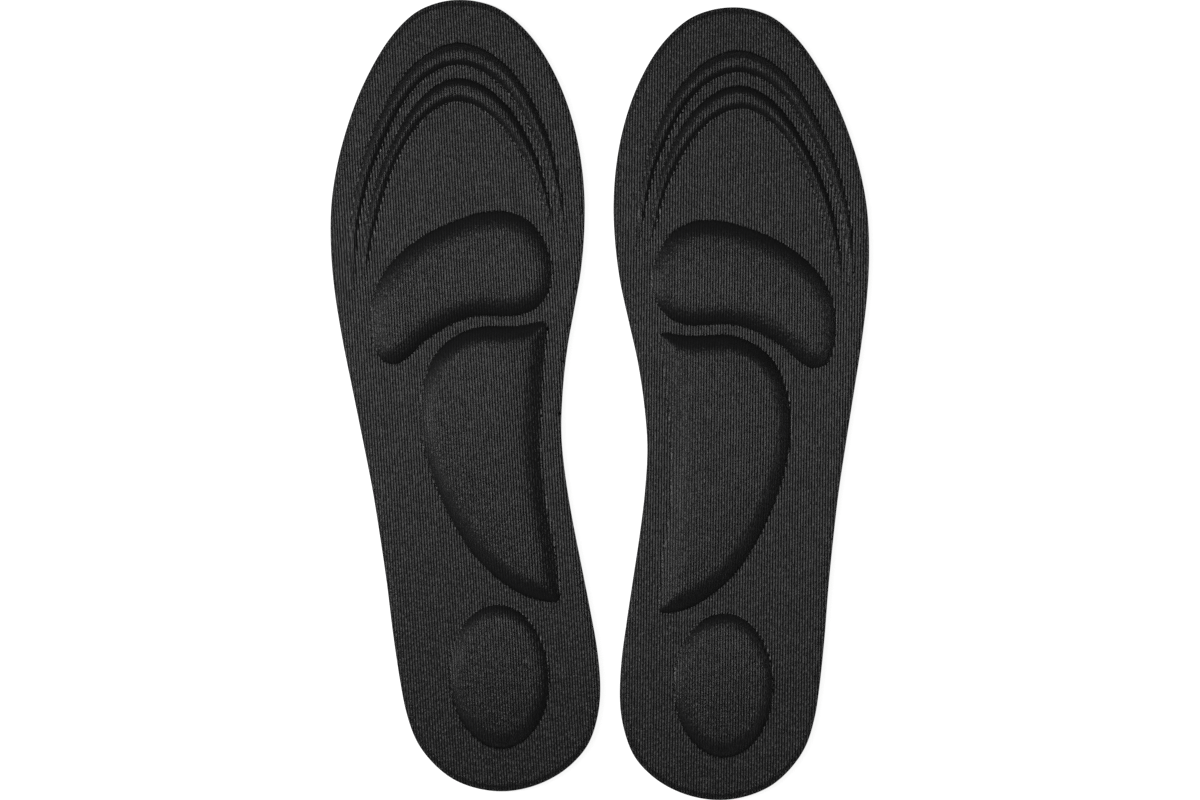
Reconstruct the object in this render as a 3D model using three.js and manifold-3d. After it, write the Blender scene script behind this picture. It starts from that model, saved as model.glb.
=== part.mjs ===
// A pair of cushioned shoe insoles. Each one is a sheet of foam with five raised foam inserts, closed in
// between a moulded knit cover and a bottom cloth. Units are millimetres, +Z is up, and the soles lie on z = 0
// with the toes towards +Y. The right insole mirrors the left one, apart from how it is cut out.

import * as THREE from "three";
import { mergeVertices } from "three/addons/utils/BufferGeometryUtils.js";
import Module from "manifold-3d";

const wasm = await Module();
wasm.setup();

// Overall sizes of one insole
const insoleLength = 290;
const ballWidth = 93.4;

// Layers, from the bottom up
const clothThickness = 0.8;
const foamThickness = 3.8;
const coverThickness = 1;

// Edge of the insole: a thin pressed lip, then a rounded shoulder up to the flat top
const lipWidth = 1.4;
const shoulderRound = 2.4;

// Foam inserts: height above the base foam, depth of their seats in it, and the room left round them
const metatarsalPadHeight = 3.2;
const archPadHeight = 4.2;
const heelPadHeight = 3.2;
const heelPadWidth = 36.6;
const heelPadLength = 52.8;
const outerRidgeHeight = 1.8;
const innerRidgeHeight = 1.6;
const insertEdge = 0.5;
const seatDepth = 0.8;
const clearance = 0.3;

// How the pair lies: turn of each insole, gap between them, and how far the right heel lies behind the left one
const leftTurn = 3;
const rightTurn = -0.4;
const pairGap = 4.8;
const rightSetback = 3.2;

// The left insole is cut out true to its inserts, and the right one a little off: its inserts lie this much
// nearer to its outer side
const leftInsertShift = 0;
const rightInsertShift = 1.2;

// Straight steps from one plan point to the next, and across a toe ridge
const outlineSteps = 2;
const padSteps = 2;
const ridgeSteps = 3;
const ridgeStepsAcross = 3;
const ovalSteps = 32;

// Heights of the layers' faces
const foamBottom = clothThickness;
const foamTop = foamBottom + foamThickness;
const coverTop = foamTop + coverThickness;
const seatFloor = foamTop - seatDepth;

// Plan points are [across, along] from the heel end of a left insole, with the inner side of the foot at +X.
// They are drawn on a last of this length and ball width, and graded to the sizes above.
const lastLength = 290;
const lastWidth = 93.4;

function graded(points) {
  return points.map(
    ([across, along]) =>
      new THREE.Vector2((across * ballWidth) / lastWidth, (along * insoleLength) / lastLength),
  );
}

// A closed smooth outline, with a number of straight steps from one plan point to the next.
function roundOutline(points, steps) {
  const corners = graded(points).map((p) => new THREE.Vector3(p.x, p.y, 0));
  const curve = new THREE.CatmullRomCurve3(corners, true, "centripetal");
  return curve
    .getPoints(points.length * steps)
    .slice(0, -1)
    .map((p) => new THREE.Vector2(p.x, p.y));
}

// An open smooth edge, ends included, with a number of straight steps from one plan point to the next.
function smoothEdge(points, steps) {
  return new THREE.SplineCurve(graded(points)).getPoints((points.length - 1) * steps);
}

// A closed outline moved outwards by a distance; its points run counter-clockwise.
function grown(outline, distance) {
  return outline.map((point, i) => {
    const before = outline[(i + outline.length - 1) % outline.length];
    const after = outline[(i + 1) % outline.length];
    const edgeIn = new THREE.Vector2().subVectors(point, before).normalize();
    const edgeOut = new THREE.Vector2().subVectors(after, point).normalize();
    const normalIn = new THREE.Vector2(edgeIn.y, -edgeIn.x);
    const mitre = new THREE.Vector2(edgeIn.y + edgeOut.y, -edgeIn.x - edgeOut.x).normalize();
    return point.clone().addScaledVector(mitre, distance / mitre.dot(normalIn));
  });
}

// A three.js geometry as a solid that can be joined and cut, and back.
function solidOf(geometry) {
  const bare = geometry.clone();
  bare.deleteAttribute("normal");
  bare.deleteAttribute("uv");
  const merged = mergeVertices(bare, 1e-4);
  return new wasm.Manifold(
    new wasm.Mesh({
      numProp: 3,
      vertProperties: merged.attributes.position.array,
      triVerts: new Uint32Array(merged.index.array),
    }),
  );
}

function geometryOf(solid) {
  const mesh = solid.getMesh();
  const geometry = new THREE.BufferGeometry();
  geometry.setAttribute("position", new THREE.BufferAttribute(mesh.vertProperties, 3));
  geometry.setIndex(new THREE.BufferAttribute(mesh.triVerts, 1));
  geometry.computeVertexNormals();
  return geometry;
}

// The insole's outline: heel end, inner side of the foot, toes, outer side.
const insoleOutline = roundOutline(
  [
    [1, 0],
    [19.5, 4.2],
    [33, 16],
    [38.3, 36],
    [36, 65],
    [31.3, 98],
    [28.9, 129],
    [32.6, 160],
    [39.2, 189],
    [41.9, 217],
    [38.7, 245],
    [28.9, 270],
    [14.8, 285.6],
    [-1.8, 290],
    [-17.2, 285.6],
    [-31.4, 270],
    [-43.7, 245],
    [-50.8, 217],
    [-51.2, 186],
    [-46.6, 150],
    [-41.2, 113],
    [-37.7, 78],
    [-34.7, 42],
    [-29.8, 20],
    [-17.2, 5.4],
  ],
  outlineSteps,
);

// Foam insert behind the toes: a kidney, hollow towards the heel.
const metatarsalPad = {
  height: metatarsalPadHeight,
  centre: graded([[-4, 190]])[0],
  outline: roundOutline(
    [
      [9.8, 212.2],
      [-6.9, 209.1],
      [-21.2, 202.5],
      [-31.8, 193.4],
      [-37.8, 182],
      [-38.5, 168],
      [-35.2, 159.6],
      [-28.6, 158.4],
      [-20.3, 164.9],
      [-10.4, 170.9],
      [1, 174],
      [14, 173.3],
      [22.6, 176.2],
      [28, 183.4],
      [28.5, 194.6],
      [21.6, 207.6],
    ],
    padSteps,
  ),
};

// Foam insert along the inner side of the foot: a leaf with a sharp tip at each end.
const archPad = {
  height: archPadHeight,
  centre: graded([[3, 122]])[0],
  outline: [
    ...smoothEdge(
      [
        [26.2, 171],
        [13, 169.7],
        [1, 170.3],
        [-9.9, 166.3],
        [-18, 157.8],
        [-22.3, 143],
        [-21.4, 125],
        [-15, 104.5],
        [-4.5, 85.4],
        [7.5, 74],
        [17, 69.2],
        [25.4, 68],
      ],
      padSteps,
    ).slice(0, -1),
    ...smoothEdge(
      [
        [25.4, 68],
        [24.8, 85],
        [22, 106],
        [21.4, 130],
        [24, 153],
        [26.2, 171],
      ],
      padSteps,
    ).slice(0, -1),
  ],
};

// Foam insert under the heel: an oval.
const heelPadCentre = graded([[1.6, 42]])[0];
const heelPad = {
  height: heelPadHeight,
  centre: heelPadCentre,
  outline: new THREE.EllipseCurve(heelPadCentre.x, heelPadCentre.y, heelPadWidth / 2, heelPadLength / 2)
    .getPoints(ovalSteps)
    .slice(0, -1),
};

// Foam crescents round the toes. Each edge runs from the outer side of the foot, round the toes, to the inner.
const toeRidgeOuter = {
  height: outerRidgeHeight,
  outerEdge: smoothEdge(
    [
      [-45, 184.9],
      [-44.2, 210],
      [-36, 239.5],
      [-20, 265.4],
      [-0.8, 274.2],
      [18, 262.6],
      [31, 234.5],
      [35.5, 196.2],
    ],
    ridgeSteps,
  ),
  innerEdge: smoothEdge(
    [
      [-43.4, 184.6],
      [-41, 209],
      [-32.6, 234.5],
      [-18, 258.2],
      [-0.8, 266],
      [16, 254.8],
      [28.4, 228],
      [34, 197.4],
    ],
    ridgeSteps,
  ),
};

const toeRidgeInner = {
  height: innerRidgeHeight,
  outerEdge: smoothEdge(
    [
      [-41.4, 184.2],
      [-38.8, 210],
      [-30.4, 233.5],
      [-16.6, 254.4],
      [-1.4, 261.3],
      [14.4, 251.8],
      [26.2, 228.6],
      [31.6, 197.4],
    ],
    ridgeSteps,
  ),
  innerEdge: smoothEdge(
    [
      [-40.4, 184.2],
      [-36.4, 203.5],
      [-27.4, 229.2],
      [-15.6, 246.6],
      [-2.4, 252.8],
      [11.6, 244.4],
      [23, 224.6],
      [30.2, 198.6],
    ],
    ridgeSteps,
  ),
};

// The insole's outline drawn in by a distance and raised from one height to another, with a rounded top edge.
function slab(inset, bottom, top, round) {
  const geometry = new THREE.ExtrudeGeometry(new THREE.Shape(insoleOutline), {
    depth: top - bottom,
    bevelThickness: round,
    bevelSize: round,
    bevelOffset: -inset - round,
    bevelSegments: 2,
  });
  geometry.translate(0, 0, bottom - round);
  return solidOf(geometry);
}

// The insole's outline, flat on both faces.
function sheet(bottom, top) {
  const geometry = new THREE.ExtrudeGeometry(new THREE.Shape(insoleOutline), {
    depth: top - bottom,
    bevelEnabled: false,
  });
  geometry.translate(0, 0, bottom);
  return solidOf(geometry);
}

// What lies above a height. The box cut away has whole numbers for its faces, so the cut lies exactly there.
function above(solid, height) {
  const halfReach = Math.ceil(insoleLength + ballWidth);
  const ground = new THREE.BoxGeometry(2 * halfReach, 2 * halfReach, 2 * halfReach);
  ground.translate(0, 0, height - halfReach);
  return solid.subtract(solidOf(ground));
}

// A foam pad, larger by a distance round and above: a turned dome whose circle is stretched to the outline.
function padGeometry(pad, grow) {
  const top = foamTop + pad.height + grow;
  const edgeTop = foamTop + insertEdge + grow;
  const profile = [
    new THREE.Vector2(0, seatFloor),
    new THREE.Vector2(1, seatFloor),
    new THREE.Vector2(1, edgeTop),
    new THREE.Vector2(0.88, THREE.MathUtils.lerp(edgeTop, top, 0.75)),
    new THREE.Vector2(0.66, top),
    new THREE.Vector2(0, top),
  ];
  const outline = grown(pad.outline, grow);
  const geometry = new THREE.LatheGeometry(profile, outline.length);
  const position = geometry.attributes.position;
  for (let i = 0; i < position.count; i++) {
    const share = profile[i % profile.length];
    const rim = outline[Math.floor(i / profile.length) % outline.length];
    const plan = pad.centre.clone().lerp(rim, share.x);
    position.setXYZ(i, plan.x, plan.y, share.y);
  }
  return geometry;
}

// A foam crescent, larger by a distance round and above: a bar bent to lie between the crescent's two edges.
function ridgeGeometry(ridge, grow) {
  const outline = grown([...ridge.innerEdge, ...ridge.outerEdge.toReversed()], grow);
  const innerEdge = outline.slice(0, ridge.innerEdge.length);
  const outerEdge = outline.slice(ridge.innerEdge.length).reverse();
  const steps = innerEdge.length - 1;
  const geometry = new THREE.BoxGeometry(1, 1, 1, steps, ridgeStepsAcross, 1);
  const position = geometry.attributes.position;
  for (let i = 0; i < position.count; i++) {
    const along = Math.round((position.getX(i) + 0.5) * steps);
    const across = position.getY(i) + 0.5;
    const plan = innerEdge[along].clone().lerp(outerEdge[along], across);
    const crest = (ridge.height - insertEdge) * Math.sin((Math.PI * along) / steps) ** 0.6;
    const top = foamTop + grow + insertEdge + crest * Math.sin(Math.PI * across);
    position.setXYZ(i, plan.x, plan.y, position.getZ(i) > 0 ? top : seatFloor);
  }
  return geometry;
}

// The five inserts, all larger by a distance, and shifted towards the outer side of the foot.
function insertSolids(grow, shift) {
  const geometries = {
    metatarsal_pad: padGeometry(metatarsalPad, grow),
    arch_pad: padGeometry(archPad, grow),
    heel_pad: padGeometry(heelPad, grow),
    toe_ridge_outer: ridgeGeometry(toeRidgeOuter, grow),
    toe_ridge_inner: ridgeGeometry(toeRidgeInner, grow),
  };
  const placed = Object.entries(geometries).map(([name, geometry]) => [
    name,
    solidOf(geometry.translate(-shift, 0, 0)),
  ]);
  return Object.fromEntries(placed);
}

const joined = (solid, others) => Object.values(others).reduce((sum, other) => sum.add(other), solid);
const cutBy = (solid, others) => Object.values(others).reduce((rest, other) => rest.subtract(other), solid);

// Base foam, inside the cover's wall, with a seat for each insert.
function baseFoamSolid(shift) {
  const inset = lipWidth + coverThickness + clearance;
  const block = above(slab(inset, foamBottom, foamTop, shoulderRound), foamBottom);
  return cutBy(block, insertSolids(clearance, shift));
}

// Cover: a shell over the base foam and the inserts, open below, with a lip that lies on the bottom cloth.
function topCoverSolid(shift) {
  const skin = clearance + coverThickness;
  const lip = sheet(foamBottom, foamBottom + coverThickness);
  const block = slab(lipWidth, foamBottom, coverTop, shoulderRound + coverThickness);
  const hollow = slab(lipWidth + coverThickness, foamBottom, foamTop, shoulderRound);
  const outside = above(joined(block.add(lip), insertSolids(skin, shift)), foamBottom);
  return outside.subtract(joined(hollow, insertSolids(clearance, shift)));
}

const knitMaterial = new THREE.MeshStandardMaterial({ color: 0x2b2b2e, roughness: 0.95, metalness: 0 });
const clothMaterial = new THREE.MeshStandardMaterial({ color: 0x232325, roughness: 1, metalness: 0 });
const baseMaterial = new THREE.MeshStandardMaterial({ color: 0x8d8f92, roughness: 1, metalness: 0 });
const insertMaterial = new THREE.MeshStandardMaterial({ color: 0xb9bbbd, roughness: 1, metalness: 0 });

function insole(side, turn, shift) {
  const group = new THREE.Group();
  const addPiece = (name, solid, material) => {
    const mesh = new THREE.Mesh(geometryOf(solid), material);
    mesh.name = side + "_" + name;
    group.add(mesh);
  };
  addPiece("bottom_cloth", sheet(0, clothThickness), clothMaterial);
  addPiece("base_foam", baseFoamSolid(shift), baseMaterial);
  for (const [name, solid] of Object.entries(insertSolids(0, shift))) {
    addPiece(name, solid, insertMaterial);
  }
  addPiece("top_cover", topCoverSolid(shift), knitMaterial);
  group.rotation.z = THREE.MathUtils.degToRad(turn);
  return group;
}

const boxOf = (object) => new THREE.Box3().setFromObject(object, true);

const left = insole("left", leftTurn, leftInsertShift);
const right = insole("right", rightTurn, rightInsertShift);
right.scale.x = -1;
right.position.x = boxOf(left).max.x + pairGap - boxOf(right).min.x;
right.position.y = boxOf(left).min.y - rightSetback - boxOf(right).min.y;

const pair = new THREE.Group();
pair.add(left, right);
const middle = boxOf(pair).getCenter(new THREE.Vector3());
for (const one of [left, right]) {
  one.position.x -= middle.x;
  one.position.y -= middle.y;
}

export default pair;
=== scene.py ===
"""Looks for a pair of cushioned insoles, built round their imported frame.

Each insole is a ribbed knit cover moulded over a base foam and five foam inserts, with a thin cloth bonded
underneath. Everything is worked out in millimetres and turned to metres when a piece is finished.
"""

import math

import bmesh
import bpy
import numpy as np
from mathutils import Matrix, Vector
from mathutils.bvhtree import BVHTree
from mathutils.kdtree import KDTree


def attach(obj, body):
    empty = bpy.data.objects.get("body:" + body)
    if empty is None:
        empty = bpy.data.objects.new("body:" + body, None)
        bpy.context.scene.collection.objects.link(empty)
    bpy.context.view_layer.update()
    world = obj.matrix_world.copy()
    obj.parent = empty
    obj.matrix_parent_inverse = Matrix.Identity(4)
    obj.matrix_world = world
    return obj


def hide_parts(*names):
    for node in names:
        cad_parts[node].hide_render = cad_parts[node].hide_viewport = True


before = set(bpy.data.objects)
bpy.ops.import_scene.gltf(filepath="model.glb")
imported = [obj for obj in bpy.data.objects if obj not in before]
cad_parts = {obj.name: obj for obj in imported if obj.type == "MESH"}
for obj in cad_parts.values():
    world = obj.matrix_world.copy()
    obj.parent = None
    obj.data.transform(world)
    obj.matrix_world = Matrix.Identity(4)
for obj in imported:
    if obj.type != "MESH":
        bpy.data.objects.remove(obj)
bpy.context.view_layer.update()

MM = 0.001

# The layers, in millimetres above the table, and the gaps kept between them.
BACKING_TOP = 0.8
SEAT_FLOOR = 3.8
FOAM_TOP = 4.6
LIP_TOP = 5.35
COVER_TOP = 5.6
COVER_THICKNESS = 1.0
LAYER_GAP = 0.06
WRAP_GAP = 0.02

# The border of an insole: a lip, a gentle step up from it, the rounding of its edge, and the width of the
# cover that wraps down there.
LIP_WIDTH = 0.9
STEP_WIDTH = 1.3
EDGE_ROUND = 0.35
EDGE_DROP = 0.1
WRAP_WIDTH = 0.25

# The gentle step at the pressed line round each insert, before the cover rises.
CREASE_WALL = 0.2
CREASE_STEP = 0.6

# The step sinks away towards the thin ends of a toe ridge.
TIP_FADE = 16.0
TIP_CURVE = 1.5

# The arch pad comes up slowly from the edge of the insole, from this depth on.
FLANK_START = 4.0
FLANK_CURVE = 1.6

# How strongly the cloth is marked as a crease along the border's step, with painted shade in its colour and a
# shine in its roughness, where 1 is along an insert's line, how far that reaches, and how far it reaches out
# from an insert's line and in from it.
BORDER_CREASE = 0.25
BORDER_CREASE_REACH = 0.5
CREASE_REACH_OUT = 0.3
CREASE_REACH_IN = 1.1

# How the knit swells over the pads as cloth: the rise it is held down to, its pressure, the frames it takes,
# its mass at each point in kilograms, and how far inside a pad's line it is still held.
PADS = ("metatarsal_pad", "arch_pad", "heel_pad")
SWELL = 1.3
SWELL_PRESSURE = 4.0
SWELL_FRAMES = 20
SWELL_MASS = 0.0001
HELD_WIDTH = 0.5

# The foam: room round each insert in its seat, and how far in the base's side lies.
SEAT_PLAY = 0.3
BASE_INSET = 1.0

# The backing is turned up a little at its edge.
TURN_UP = 0.15
TURN_UP_WIDTH = 1.2

# How the ribs of the knit lie on each insole, in degrees anticlockwise.
RIB_TURN = {"left": 3.4, "right": -0.6}

# Spacings that cloth patterns are drawn at, in metres, and the spacing of a wave texture's bands at scale 1.
RIB_SPACING = 0.001
THREAD_SPACING = 0.0009
WAVE_SPACING = 0.31416

# Mesh sizes: the points along the outlines, the squares of a panel, and how far a corner may move to lie on a
# line, as a share of a square and, on a fine panel, in millimetres.
EDGE_SPACING = 0.7
INSERT_SPACING = 0.5
CURVE_STEPS = 10
PITCH = 2.0
INSERT_PITCH = 1.2
COARSE_REACH = 0.53
FINE_REACH = 0.27

# In a frame node, in metres: corners nearer than this are one, and faces this near the lowest point are its
# underside.
MERGE = 1e-6
LEVEL = 1e-5

# Places are measured this far round an outline's box, twice as far for bands, and half as far for corners
# that are laid on a line. Beyond that they count as far outside.
NEARBY = 6
FAR_OUTSIDE = -99.0

# A face is a side face where its normal rises less than this. An edge between a side face and another one is
# shaded smooth where it turns less than this, in radians.
UPRIGHT = 0.3
SMOOTH_TURN = 1.0

# The stage, in metres: the table, the one lamp over it and the camera straight above.
TABLE_SIZE = 6
TABLE_DROP = 0.0003
LAMP_PLACE = (-0.5, 0.035, 0.85)
LAMP_AIM = (0.01, 0.035, 0)
LAMP_WIDTH = 0.22
LAMP_LENGTH = 1.19
LAMP_SPREAD = 75
LAMP_POWER = 1.0
CAMERA_HEIGHT = 1.834
CAMERA_LENS = 150
CAMERA_SENSOR = 36


def smooth_line(points, spacing):
    """Evenly spaced points along the smooth closed line through the given ones."""
    b = np.array(points, float)
    a, c, d = np.roll(b, 1, 0), np.roll(b, -1, 0), np.roll(b, -2, 0)
    second, third = 2 * a - 5 * b + 4 * c - d, 3 * b - a - 3 * c + d
    parts = []
    for t in np.linspace(0, 1, CURVE_STEPS, endpoint=False):
        parts.append(0.5 * (2 * b + (c - a) * t + second * t**2 + third * t**3))
    dense = np.stack(parts, 1).reshape(-1, 2)
    dense = np.vstack([dense, dense[:1]])
    along = np.concatenate([[0], np.cumsum(np.linalg.norm(np.diff(dense, axis=0), axis=1))])
    at = np.linspace(0, along[-1], math.ceil(along[-1] / spacing), endpoint=False)
    return np.stack([np.interp(at, along, dense[:, k]) for k in (0, 1)], 1)


def softened(points, reach):
    """The closed line with its corners rounded: each point moves to the middle of its neighbours."""
    return sum(np.roll(points, shift, 0) for shift in range(-reach, reach + 1)) / (2 * reach + 1)


def footprint(node_name):
    """The outline of a frame node's flat underside, in millimetres and in order."""
    bm = bmesh.new()
    bm.from_mesh(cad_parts[node_name].data)
    bmesh.ops.remove_doubles(bm, verts=bm.verts, dist=MERGE)
    floor = min(v.co.z for v in bm.verts)
    under = {f for f in bm.faces if all(v.co.z - floor < LEVEL for v in f.verts)}
    rim = [e for e in bm.edges if sum(f in under for f in e.link_faces) == 1]
    beside = {}
    for e in rim:
        for v in e.verts:
            beside.setdefault(v, []).append(e.other_vert(v))
    start = rim[0].verts[0]
    walk, last = [start], None
    while len(walk) < len(beside):
        here = walk[-1]
        onward = next(v for v in beside[here] if v is not last)
        last = here
        walk.append(onward)
    points = [(v.co.x / MM, v.co.y / MM) for v in walk]
    bm.free()
    return points


class Outline:
    """A closed line on the plan that can say how deep inside it a place lies."""

    def __init__(self, points):
        nxt = np.roll(points, -1, 0)
        if np.sum(points[:, 0] * nxt[:, 1] - nxt[:, 0] * points[:, 1]) < 0:
            points = points[::-1]
        self.points = points
        self.step = np.roll(points, -1, 0) - points
        self.long = np.linalg.norm(self.step, axis=1)
        self.out = np.stack([self.step[:, 1], -self.step[:, 0]], 1) / self.long[:, None]
        self.tree = KDTree(len(points))
        for i, (x, y) in enumerate(points):
            self.tree.insert((x, y, 0), i)
        self.tree.balance()
        self.low, self.high = points.min(0), points.max(0)

    def area(self):
        nxt = np.roll(self.points, -1, 0)
        return float(np.sum(self.points[:, 0] * nxt[:, 1] - nxt[:, 0] * self.points[:, 1]) / 2)

    def measure(self, places, margin=math.inf):
        """For each place: its depth inside the line (negative outside), the nearest point and the way out."""
        depth = np.full(len(places), FAR_OUTSIDE)
        nearest = places.copy()
        way_out = np.zeros_like(places)
        close = np.all((places > self.low - margin) & (places < self.high + margin), axis=1)
        if not close.any():
            return depth, nearest, way_out
        p = places[close]
        i = np.array([self.tree.find((x, y, 0))[1] for x, y in p])
        best, spot, out = np.full(len(p), np.inf), np.zeros_like(p), np.zeros_like(p)
        for k in (i - 1, i):
            share = np.clip(((p - self.points[k]) * self.step[k]).sum(1) / self.long[k] ** 2, 0, 1)
            foot = self.points[k] + share[:, None] * self.step[k]
            away = np.linalg.norm(p - foot, axis=1)
            better = away < best
            best = np.where(better, away, best)
            spot = np.where(better[:, None], foot, spot)
            out = np.where(better[:, None], self.out[k], out)
        at_corner = np.linalg.norm(spot - self.points[i], axis=1) < 1e-9
        out = np.where(at_corner[:, None], self.out[i - 1] + self.out[i], out)
        inside = ((p - spot) * out).sum(1) < 0
        depth[close] = np.where(inside, best, -best)
        nearest[close] = spot
        way_out[close] = out / np.linalg.norm(out, axis=1)[:, None]
        return depth, nearest, way_out


def drawn_in(outline, distance):
    """The outline a distance further in, without the loops that its sharp corners would make."""
    moved = outline.points - outline.out * distance
    depth, _, _ = outline.measure(moved)
    # A point of such a loop lies nearer to the outline than it was moved.
    clear = depth > distance * 0.97
    return Outline(smooth_line(moved[clear], EDGE_SPACING))


class Insert:
    """One foam insert and the shape of the cover over it.

    The cover rises to its top height over the width of the slope, and a larger bulge makes that rise rounder.
    Over the width of a flank it also comes up slowly from the insole's edge. A crown is a further rise that
    its dome spreads.
    """

    def __init__(self, outline, top, slope, bulge, flank=0.0, crown=0.0, dome=1.0, tapered=False):
        self.outline, self.top, self.slope, self.bulge = outline, top, slope, bulge
        self.flank, self.crown, self.dome = flank, crown, dome
        self.tapered = tapered

    def fade(self, places):
        """1 on most inserts; on a tapered one it sinks to 0 towards the two thin ends."""
        if not self.tapered:
            return np.ones(len(places))
        points = self.outline.points
        middle = points[points[:, 1].argmax(), 0]
        ends = [points[points[:, 0] < middle, 1].min(), points[points[:, 0] >= middle, 1].min()]
        run = places[:, 1] - np.where(places[:, 0] < middle, ends[0], ends[1])
        return np.clip(run / TIP_FADE, 0, 1) ** TIP_CURVE


class Insole:
    """The plan of one insole and the heights of its cover."""

    def __init__(self, side):
        self.edge = Outline(smooth_line(footprint(f"{side}_bottom_cloth"), EDGE_SPACING))
        # Each insert, how many points on either side its corners are rounded over, and its shape.
        shapes = [
            ("metatarsal_pad", 0, dict(top=8.2, slope=8.0, bulge=2.2)),
            ("arch_pad", 6, dict(top=9.2, slope=7.0, bulge=2.2, flank=15.0)),
            ("heel_pad", 0, dict(top=7.5, slope=6.0, bulge=2.4, crown=1.0, dome=14.0)),
            ("toe_ridge_outer", 0, dict(top=7.0, slope=2.8, bulge=2.2, tapered=True)),
            ("toe_ridge_inner", 0, dict(top=6.9, slope=2.8, bulge=2.2, tapered=True)),
        ]
        self.inserts = {}
        for name, corner, shape in shapes:
            line = smooth_line(footprint(f"{side}_{name}"), INSERT_SPACING)
            self.inserts[name] = Insert(Outline(softened(line, corner)), **shape)
        self.lift = None

    def cover_top(self, places):
        """The height of the knit's outer face at each place."""
        depth, _, _ = self.edge.measure(places)
        run = np.clip((depth - LIP_WIDTH) / STEP_WIDTH, 0, 1)
        step = (COVER_TOP - LIP_TOP) * run * run * (3 - 2 * run)
        rounded = EDGE_DROP * np.clip(1 - depth / EDGE_ROUND, 0, 1) ** 2
        top = LIP_TOP - rounded + step
        for insert in self.inserts.values():
            d, _, _ = insert.outline.measure(places, NEARBY)
            rise = 1 - (1 - np.clip((d - CREASE_STEP) / insert.slope, 0, 1)) ** insert.bulge
            if insert.flank:
                inward = np.clip((depth - FLANK_START) / insert.flank, 0, 1)
                rise = rise * (1 - (1 - inward) ** FLANK_CURVE)
            crown = insert.crown * (1 - np.exp(-np.maximum(d, 0) / insert.dome))
            wall = CREASE_WALL * insert.fade(places)
            over = wall * np.clip(d / CREASE_STEP, 0, 1) + (insert.top - COVER_TOP - wall) * rise + crown
            top = top + np.where(d > 0, over, 0)
        return top + self.lift_at(places)

    def lift_at(self, places):
        """How far the swollen knit stands above its pressed shape at each place."""
        if self.lift is None:
            return np.zeros(len(places))
        above = 100
        hits = [self.lift.ray_cast((x, y, above), (0, 0, -1))[0] for x, y in places]
        return np.array([0.0 if hit is None else hit.z for hit in hits])

    def swell(self):
        """Lets the knit blow up a little over the pads as cloth, held at its pressed lines."""
        bm = panel(self.edge, [(insert.outline, 0) for insert in self.inserts.values()])
        places = flat(bm)
        rest = self.cover_top(places)
        for v, high in zip(bm.verts, rest):
            v.co.z = high
        bmesh.ops.scale(bm, vec=(MM, MM, MM), verts=bm.verts)
        free = np.zeros(len(places), bool)
        for name in PADS:
            free |= self.inserts[name].outline.measure(places, NEARBY)[0] > HELD_WIDTH
        mesh = bpy.data.meshes.new("swelling_knit")
        bm.to_mesh(mesh)
        bm.free()
        cloth = bpy.data.objects.new("swelling_knit", mesh)
        scene = bpy.context.scene
        scene.collection.objects.link(cloth)
        held = cloth.vertex_groups.new(name="held")
        held.add([int(i) for i in np.flatnonzero(~free)], 1.0, "REPLACE")
        modifier = cloth.modifiers.new("swell", "CLOTH")
        modifier.point_cache.frame_start, modifier.point_cache.frame_end = 1, SWELL_FRAMES
        settings = modifier.settings
        settings.vertex_group_mass = "held"
        settings.mass = SWELL_MASS
        settings.effector_weights.gravity = 0
        settings.use_pressure = True
        settings.uniform_pressure_force = SWELL_PRESSURE
        for frame_number in range(1, SWELL_FRAMES + 1):
            scene.frame_set(frame_number)
        blown = cloth.evaluated_get(bpy.context.evaluated_depsgraph_get())
        high = np.array([v.co.z for v in blown.data.vertices]) / MM
        rise = np.maximum(high - rest, 0)
        rise = SWELL * (1 - np.exp(-rise / SWELL))
        scene.frame_set(1)
        cloth.modifiers.remove(modifier)
        for v, (x, y), z in zip(mesh.vertices, places, rise):
            v.co = (x, y, z)
        smooth = cloth.modifiers.new("smooth", "SUBSURF")
        smooth.levels = smooth.render_levels = 2
        self.lift = BVHTree.FromObject(cloth, bpy.context.evaluated_depsgraph_get())
        bpy.data.objects.remove(cloth)
        bpy.data.meshes.remove(mesh)

    def creases(self, places):
        """How near each place is to a pressed line, from 0 to 1; the knit's colour is darkened by it as
        painted shade.
        """
        depth, _, _ = self.edge.measure(places)
        near = BORDER_CREASE * np.exp(-(((depth - LIP_WIDTH - STEP_WIDTH / 2) / BORDER_CREASE_REACH) ** 2))
        for insert in self.inserts.values():
            d, _, _ = insert.outline.measure(places, NEARBY)
            reach = np.where(d < 0, CREASE_REACH_OUT, CREASE_REACH_IN)
            pressed = insert.fade(places) * np.exp(-((d / reach) ** 2))
            near = np.maximum(near, pressed)
        return near

    def base_top(self, places):
        """The height of the base foam: level under the cover, and sunk into a seat under each insert."""
        top = np.minimum(FOAM_TOP, self.cover_under(places)) - LAYER_GAP
        for insert in self.inserts.values():
            d, _, _ = insert.outline.measure(places, NEARBY)
            top = np.where(d > SEAT_PLAY, SEAT_FLOOR - LAYER_GAP, top)
        return top

    def cover_under(self, places, top=None):
        """The height of the cover's inner face, which goes down to the backing where it wraps the edge."""
        top = self.cover_top(places) if top is None else top
        depth, _, _ = self.edge.measure(places)
        return np.where(depth < WRAP_WIDTH, BACKING_TOP + WRAP_GAP, top - COVER_THICKNESS)


def flat(bm):
    return np.array([v.co[:2] for v in bm.verts], float).reshape(-1, 2)


def centres(bm):
    return np.array([f.calc_center_median()[:2] for f in bm.faces], float).reshape(-1, 2)


def split_near(bm, bands):
    """Halves the faces that lie in any band: an outline, and the depths it runs from and to."""
    places = centres(bm)
    near = np.zeros(len(places), bool)
    for outline, low, high in bands:
        d, _, _ = outline.measure(places, 2 * NEARBY)
        near |= (d > low) & (d < high)
    edges = {e for f, wanted in zip(bm.faces, near) if wanted for e in f.edges}
    bmesh.ops.subdivide_edges(bm, edges=list(edges), cuts=1, use_grid_fill=True)


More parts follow.
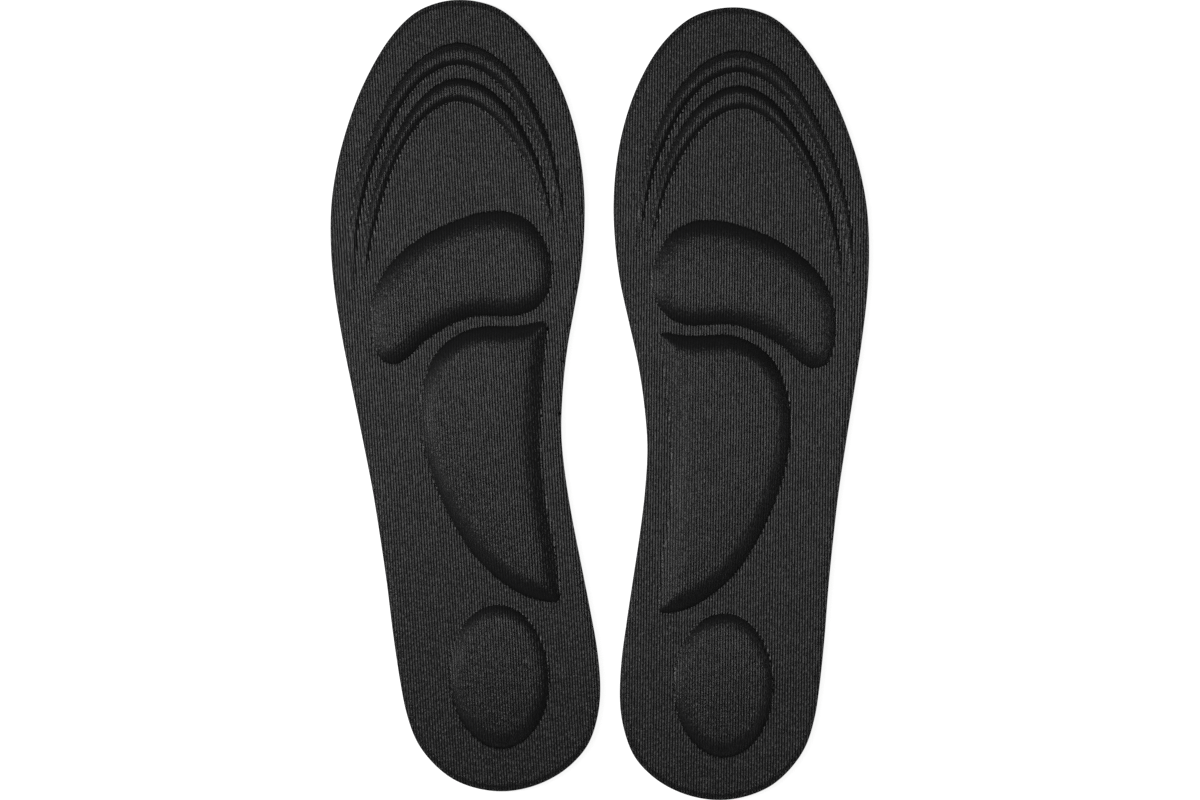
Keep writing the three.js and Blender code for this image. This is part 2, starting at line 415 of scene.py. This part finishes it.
def lay_edges(bm, outline, level, reach, laid):
    """Moves the corners next to a line onto it, and splits the faces between them to lay edges along it."""
    verts = list(bm.verts)
    d, nearest, out = outline.measure(flat(bm), NEARBY / 2)
    for v, at, way, far in zip(verts, nearest, out, d):
        if abs(far - level) <= reach and v not in laid:
            v.co.x, v.co.y = at - way * level
            laid.add(v)
            v.tag = True
        else:
            v.tag = False
    bmesh.ops.connect_verts(bm, verts=[v for v in verts if v.tag])


def panel(edge, lines, bands=(), pitch=PITCH, reach=None):
    """A flat sheet trimmed to an outline, finer in the bands, with edges laid along the lines."""
    reach = reach or pitch * COARSE_REACH
    low, high = edge.low - pitch, edge.high + pitch
    count = np.ceil((high - low) / pitch).astype(int)
    middle = (low + high) / 2
    bm = bmesh.new()
    stretch = Matrix.Diagonal((count[0] * pitch, count[1] * pitch, 1, 1))
    place = Matrix.Translation((middle[0], middle[1], 0)) @ stretch
    bmesh.ops.create_grid(bm, x_segments=int(count[0]), y_segments=int(count[1]), size=0.5, matrix=place)
    d, _, _ = edge.measure(centres(bm))
    outside = [f for f, far in zip(bm.faces, d) if far < -1.1 * pitch]
    bmesh.ops.delete(bm, geom=outside, context="FACES")
    for band in bands:
        split_near(bm, band)
    laid = set()
    for outline, level in [(edge, 0), *lines]:
        lay_edges(bm, outline, level, reach, laid)
    # Two gentle passes even out the squares beside the laid edges.
    for _ in range(2):
        free = [v for v in bm.verts if v not in laid]
        bmesh.ops.smooth_vert(bm, verts=free, factor=0.4, use_axis_x=True, use_axis_y=True)
    d, _, _ = edge.measure(centres(bm))
    outside = [f for f, far in zip(bm.faces, d) if far < 0]
    bmesh.ops.delete(bm, geom=outside, context="FACES")
    return bm


def closed(bm, top, under):
    """Gives a panel its top and underside heights and closes it all round."""
    lower = bm.verts.layers.float.new("under")
    for v, high, low in zip(bm.verts, top, under):
        v.co.z = high
        v[lower] = low
    made = bmesh.ops.extrude_face_region(bm, geom=bm.faces[:], use_keep_orig=True)
    for v in made["geom"]:
        if isinstance(v, bmesh.types.BMVert):
            v.co.z = v[lower]
    bm.verts.layers.float.remove(lower)
    bmesh.ops.triangulate(bm, faces=bm.faces[:])
    bmesh.ops.recalc_face_normals(bm, faces=bm.faces[:])
    return bm


def finish_piece(name, bm, body, node_name, material):
    """Turns a shape in millimetres into a finished piece that stands for a frame node."""
    bmesh.ops.scale(bm, vec=(MM, MM, MM), verts=bm.verts)
    for f in bm.faces:
        f.smooth = True
    for e in bm.edges:
        upright = [abs(f.normal.z) < UPRIGHT for f in e.link_faces]
        e.smooth = upright.count(True) != 1 or e.calc_face_angle(0) < SMOOTH_TURN
    mesh = bpy.data.meshes.new(name)
    bm.to_mesh(mesh)
    bm.free()
    piece = bpy.data.objects.new(name, mesh)
    bpy.context.scene.collection.objects.link(piece)
    mesh.materials.append(material)
    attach(piece, body)
    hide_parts(node_name)
    return piece


def linear(code):
    """A colour written as sRGB hex, as the linear colour that shaders take."""
    parts = [int(code[i : i + 2], 16) / 255 for i in (1, 3, 5)]
    return [*(c / 12.92 if c <= 0.04045 else ((c + 0.055) / 1.055) ** 2.4 for c in parts), 1]


def add(tree, kind, inputs=None, **settings):
    """Adds a node with its settings; an input is a value or the output it is linked from."""
    made = tree.nodes.new(kind)
    for key, value in settings.items():
        setattr(made, key, value)
    for key, value in (inputs or {}).items():
        if isinstance(value, bpy.types.NodeSocket):
            tree.links.new(value, made.inputs[key])
        else:
            made.inputs[key].default_value = value
    return made


def new_material(name):
    material = bpy.data.materials.new(name)
    material.use_nodes = True
    tree = material.node_tree
    tree.nodes.clear()
    return material, tree


def knit_cloth(side):
    """Warp-knitted polyester, dyed black and moulded hot: fine ribs whose loops catch the light in dashes,
    with painted light on the rib tops and dashes and painted shade in the gaps and creases.
    """
    material, tree = new_material(f"ribbed_polyester_knit_{side}")
    place = add(tree, "ShaderNodeTexCoord").outputs["Object"]
    turned = add(
        tree,
        "ShaderNodeMapping",
        {"Vector": place, "Rotation": (0, 0, -math.radians(RIB_TURN[side]))},
    ).outputs["Vector"]
    # The real ribs are 0.8 mm apart, too fine to show, so they are drawn 1 mm apart.
    ribs = add(
        tree,
        "ShaderNodeTexWave",
        {
            "Vector": turned,
            "Scale": WAVE_SPACING / RIB_SPACING,
            "Distortion": 0.7,
            "Detail": 1,
            "Detail Scale": 0.5,
        },
        bands_direction="X",
        wave_profile="SIN",
    ).outputs["Fac"]
    # Single loops are too fine to show, so groups of them are drawn, one rib wide and 1 to 2 mm long.
    stretched = add(
        tree, "ShaderNodeMapping", {"Vector": turned, "Scale": (1900, 760, 300)}
    ).outputs["Vector"]
    dashes = add(tree, "ShaderNodeTexNoise", {"Vector": stretched, "Scale": 1, "Detail": 1}).outputs["Fac"]
    sharp = add(
        tree,
        "ShaderNodeMapRange",
        {"Value": dashes, "From Min": 0.34, "From Max": 0.66, "To Min": 0.5, "To Max": 1.0},
    ).outputs["Result"]
    lit = add(tree, "ShaderNodeMath", {0: ribs, 1: sharp}, operation="MULTIPLY").outputs[0]
    # Slight unevenness of the dye and the press, 10 to 20 mm across.
    clouds = add(tree, "ShaderNodeTexNoise", {"Vector": place, "Scale": 70, "Detail": 2}).outputs["Fac"]
    tone = add(
        tree,
        "ShaderNodeMapRange",
        {"Value": clouds, "From Min": 0.3, "From Max": 0.7, "To Min": 0.86, "To Max": 1.12},
    ).outputs["Result"]
    # Painted light and shade: the rib tops and dashes are coloured lighter and the gaps between the ribs
    # darker. Inputs 6 and 7 of a mix node are its two colours.
    yarn = add(
        tree,
        "ShaderNodeMix",
        {"Factor": lit, 6: linear("#040405"), 7: linear("#242426")},
        data_type="RGBA",
    )
    # Painted shade: the knit's colour is darkened towards a crease, down to 0.35 of it on the line itself.
    crease = add(tree, "ShaderNodeAttribute", attribute_name="crease").outputs["Fac"]
    pressed = add(
        tree,
        "ShaderNodeMapRange",
        {"Value": crease, "From Min": 0, "From Max": 1, "To Min": 1, "To Max": 0.35},
    ).outputs["Result"]
    tone_and_painted_crease_shade = add(tree, "ShaderNodeMath", {0: tone, 1: pressed}, operation="MULTIPLY").outputs[0]
    shade = add(
        tree, "ShaderNodeVectorMath", {0: yarn.outputs[2], "Scale": tone_and_painted_crease_shade}, operation="SCALE"
    ).outputs[0]
    round_ribs = add(tree, "ShaderNodeMath", {0: ribs, 1: 0.65}, operation="POWER").outputs[0]
    height = add(tree, "ShaderNodeMath", {0: round_ribs, 1: sharp}, operation="MULTIPLY").outputs[0]
    bump = add(
        tree, "ShaderNodeBump", {"Height": height, "Strength": 1.0, "Distance": 0.00022}
    ).outputs["Normal"]
    # The tops of the ribs are smoother than the gaps between them, and the hot press leaves a shine along the
    # creases.
    dull = add(
        tree,
        "ShaderNodeMapRange",
        {"Value": lit, "From Min": 0, "From Max": 0.8, "To Min": 0.52, "To Max": 0.35},
    ).outputs["Result"]
    shiny = add(tree, "ShaderNodeMath", {0: crease, 1: 4.0}, operation="POWER").outputs[0]
    gloss = add(
        tree, "ShaderNodeMapRange", {"Value": shiny, "To Min": dull, "To Max": 0.28}
    ).outputs["Result"]
    shader = add(
        tree,
        "ShaderNodeBsdfPrincipled",
        {
            "Base Color": shade,
            "Roughness": gloss,
            "IOR": 1.6,
            "Specular IOR Level": 0.5,
            "Sheen Weight": 0.16,
            "Sheen Roughness": 0.5,
            "Normal": bump,
        },
    )
    add(tree, "ShaderNodeOutputMaterial", {"Surface": shader.outputs[0]})
    return material


def backing_material():
    """Plain-woven polyester, dyed black and bonded flat: small squares of yarn with a dull face."""
    material, tree = new_material("plain_backing_cloth")
    place = add(tree, "ShaderNodeTexCoord").outputs["Object"]
    # The real threads are 0.3 mm apart, too fine to show, so they are drawn 0.9 mm apart.
    threads = {"Vector": place, "Scale": WAVE_SPACING / THREAD_SPACING, "Distortion": 0.4}
    across = add(tree, "ShaderNodeTexWave", threads, bands_direction="X").outputs["Fac"]
    along = add(tree, "ShaderNodeTexWave", threads, bands_direction="Y").outputs["Fac"]
    weave = add(tree, "ShaderNodeMath", {0: across, 1: along}, operation="MULTIPLY").outputs[0]
    fuzz = add(tree, "ShaderNodeTexNoise", {"Vector": place, "Scale": 900, "Detail": 3}).outputs["Fac"]
    mixed = add(tree, "ShaderNodeMath", {0: weave, 1: 0.7, 2: fuzz}, operation="MULTIPLY_ADD").outputs[0]
    ramp = add(tree, "ShaderNodeValToRGB", {"Fac": mixed})
    ramp.color_ramp.elements[0].position = 0.35
    ramp.color_ramp.elements[0].color = linear("#1d1d1f")
    ramp.color_ramp.elements[1].position = 1.0
    ramp.color_ramp.elements[1].color = linear("#3c3c40")
    bump = add(
        tree, "ShaderNodeBump", {"Height": mixed, "Strength": 0.4, "Distance": 0.0001}
    ).outputs["Normal"]
    shader = add(
        tree,
        "ShaderNodeBsdfPrincipled",
        {"Base Color": ramp.outputs[0], "Roughness": 0.85, "Specular IOR Level": 0.3, "Normal": bump},
    )
    add(tree, "ShaderNodeOutputMaterial", {"Surface": shader.outputs[0]})
    return material


def foam_material(name, light, dark):
    """Open-celled polyurethane foam, cut from a slab: fine pores and a dull, dry face."""
    material, tree = new_material(name)
    place = add(tree, "ShaderNodeTexCoord").outputs["Object"]
    # Pores about 0.6 mm across.
    pores = add(
        tree, "ShaderNodeTexVoronoi", {"Vector": place, "Scale": 1600}, feature="F1"
    ).outputs["Distance"]
    clouds = add(tree, "ShaderNodeTexNoise", {"Vector": place, "Scale": 120, "Detail": 2}).outputs["Fac"]
    mixed = add(tree, "ShaderNodeMath", {0: clouds, 1: 0.4, 2: pores}, operation="MULTIPLY_ADD").outputs[0]
    ramp = add(tree, "ShaderNodeValToRGB", {"Fac": mixed})
    ramp.color_ramp.elements[0].position = 0.25
    ramp.color_ramp.elements[0].color = linear(dark)
    ramp.color_ramp.elements[1].position = 0.75
    ramp.color_ramp.elements[1].color = linear(light)
    bump = add(
        tree, "ShaderNodeBump", {"Height": mixed, "Strength": 0.5, "Distance": 0.0002}
    ).outputs["Normal"]
    shader = add(
        tree,
        "ShaderNodeBsdfPrincipled",
        {"Base Color": ramp.outputs[0], "Roughness": 0.95, "Specular IOR Level": 0.2, "Normal": bump},
    )
    add(tree, "ShaderNodeOutputMaterial", {"Surface": shader.outputs[0]})
    return material


def cover_shape(insole):
    """The knit: one sheet, fine where it is pressed in, so that every crease has edges along it."""
    inserts = [insert.outline for insert in insole.inserts.values()]
    pads, ridges = inserts[: len(PADS)], inserts[len(PADS) :]
    # The faces of the first bands are halved once, and those of the second ones once more.
    bands = [
        [(insole.edge, -3, 5), *[(o, -3, 9) for o in inserts]],
        [(insole.edge, -1, 3.4), *[(o, -1.2, 2.4) for o in pads], *[(o, -1.2, 5) for o in ridges]],
    ]
    lines = [(insole.edge, LIP_WIDTH), *[(o, 0) for o in inserts]]
    bm = panel(insole.edge, lines, bands, reach=FINE_REACH)
    places = flat(bm)
    top = insole.cover_top(places)
    # Each corner keeps its nearness to a crease, by which the knit's colour is darkened as painted shade.
    crease = bm.verts.layers.float.new("crease")
    for v, near in zip(bm.verts, insole.creases(places)):
        v[crease] = near
    return closed(bm, top, insole.cover_under(places, top))


def base_shape(insole):
    """The full-length foam, with a seat for each insert."""
    lines = [(insert.outline, SEAT_PLAY) for insert in insole.inserts.values()]
    bm = panel(drawn_in(insole.edge, BASE_INSET), lines)
    places = flat(bm)
    return closed(bm, insole.base_top(places), np.full(len(places), BACKING_TOP + LAYER_GAP))


def insert_shape(insole, insert):
    """A foam insert, which fills the cover from below."""
    bm = panel(drawn_in(insert.outline, COVER_THICKNESS), [], pitch=INSERT_PITCH)
    places = flat(bm)
    return closed(bm, insole.cover_under(places) - LAYER_GAP, np.full(len(places), SEAT_FLOOR))


def backing_shape(insole):
    """The thin cloth underneath, turned up a little at its edge."""
    bm = panel(insole.edge, [])
    places = flat(bm)
    depth, _, _ = insole.edge.measure(places)
    turned_up = TURN_UP * np.clip(1 - depth / TURN_UP_WIDTH, 0, 1) ** 2
    return closed(bm, np.full(len(places), BACKING_TOP), turned_up)


def build_insole(side, backing, base_foam, insert_foam):
    insole = Insole(side)
    insole.swell()
    body = f"{side}_insole"
    area = insole.edge.area() * MM**2

    shape, knit = cover_shape(insole), knit_cloth(side)
    cover = finish_piece(f"{side}_knit_cover", shape, body, f"{side}_top_cover", knit)

    shape = base_shape(insole)
    base = finish_piece(f"{side}_foam_base", shape, body, f"{side}_base_foam", base_foam)

    for name, insert in insole.inserts.items():
        shape = insert_shape(insole, insert)
        pad = finish_piece(f"{side}_{name}_foam", shape, body, f"{side}_{name}", insert_foam)

    shape = backing_shape(insole)
    under = finish_piece(f"{side}_backing", shape, body, f"{side}_bottom_cloth", backing)


backing = backing_material()
base_foam = foam_material("base_polyurethane_foam", "#96989a", "#6d6f72")
insert_foam = foam_material("insert_polyurethane_foam", "#c2c4c5", "#9c9ea0")
for side in ("left", "right"):
    build_insole(side, backing, base_foam, insert_foam)

scene = bpy.context.scene


def light_table():
    """The insoles lie on a backlit white sheet, which is clear from below to show their undersides."""
    bpy.ops.mesh.primitive_plane_add(size=TABLE_SIZE, location=(0, 0, -TABLE_DROP))
    table_top = bpy.context.object
    table_top.name = "table_top"
    material, tree = new_material("opal_table")
    glow = add(
        tree,
        "ShaderNodeBsdfPrincipled",
        {
            "Base Color": linear("#f4f4f4"),
            "Roughness": 0.9,
            "Emission Color": linear("#ffffff"),
            "Emission Strength": 0.9,
        },
    )
    below = add(tree, "ShaderNodeNewGeometry").outputs["Backfacing"]
    clear = add(tree, "ShaderNodeBsdfTransparent").outputs[0]
    sheet = add(tree, "ShaderNodeMixShader", {0: below, 1: glow.outputs[0], 2: clear})
    add(tree, "ShaderNodeOutputMaterial", {"Surface": sheet.outputs[0]})
    table_top.data.materials.append(material)


def room():
    """The walls are white to look at, but only a band low down round the table gives light."""
    world = bpy.data.worlds.new("studio")
    scene.world = world
    world.use_nodes = True
    tree = world.node_tree
    tree.nodes.clear()
    way = add(tree, "ShaderNodeTexCoord").outputs["Generated"]
    up = add(tree, "ShaderNodeSeparateXYZ", {0: way}).outputs["Z"]
    band = add(
        tree,
        "ShaderNodeMapRange",
        {"Value": up, "From Min": 0, "From Max": 0.45, "To Min": 0.18, "To Max": 0.02},
    ).outputs["Result"]
    seen = add(tree, "ShaderNodeLightPath").outputs["Is Camera Ray"]
    strength = add(
        tree, "ShaderNodeMapRange", {"Value": seen, "To Min": band, "To Max": 0.93}
    ).outputs["Result"]
    walls = add(tree, "ShaderNodeBackground", {"Color": linear("#ffffff"), "Strength": strength})
    add(tree, "ShaderNodeOutputWorld", {"Surface": walls.outputs[0]})


def key_lamp():
    """One long soft lamp, high up on the left."""
    lamp = bpy.data.lights.new("key", "AREA")
    lamp.shape = "RECTANGLE"
    lamp.size = LAMP_WIDTH
    lamp.size_y = LAMP_LENGTH
    lamp.spread = math.radians(LAMP_SPREAD)
    lamp.energy = LAMP_POWER
    lamp_object = bpy.data.objects.new("key", lamp)
    scene.collection.objects.link(lamp_object)
    lamp_object.location = LAMP_PLACE
    lamp_object.rotation_mode = "QUATERNION"
    aim = Vector(LAMP_AIM) - lamp_object.location
    lamp_object.rotation_quaternion = aim.to_track_quat("-Z", "Y")


def camera_above():
    """The camera looks straight down on the pair, with the toes up in the picture."""
    camera = bpy.data.cameras.new("camera")
    camera.lens = CAMERA_LENS
    camera.sensor_width = CAMERA_SENSOR
    camera.clip_start = 0.05
    camera.clip_end = 50
    camera_object = bpy.data.objects.new("camera", camera)
    scene.collection.objects.link(camera_object)
    camera_object.location = (0, 0, CAMERA_HEIGHT)
    scene.camera = camera_object


light_table()
room()
key_lamp()
camera_above()
scene.view_settings.view_transform = "Standard"
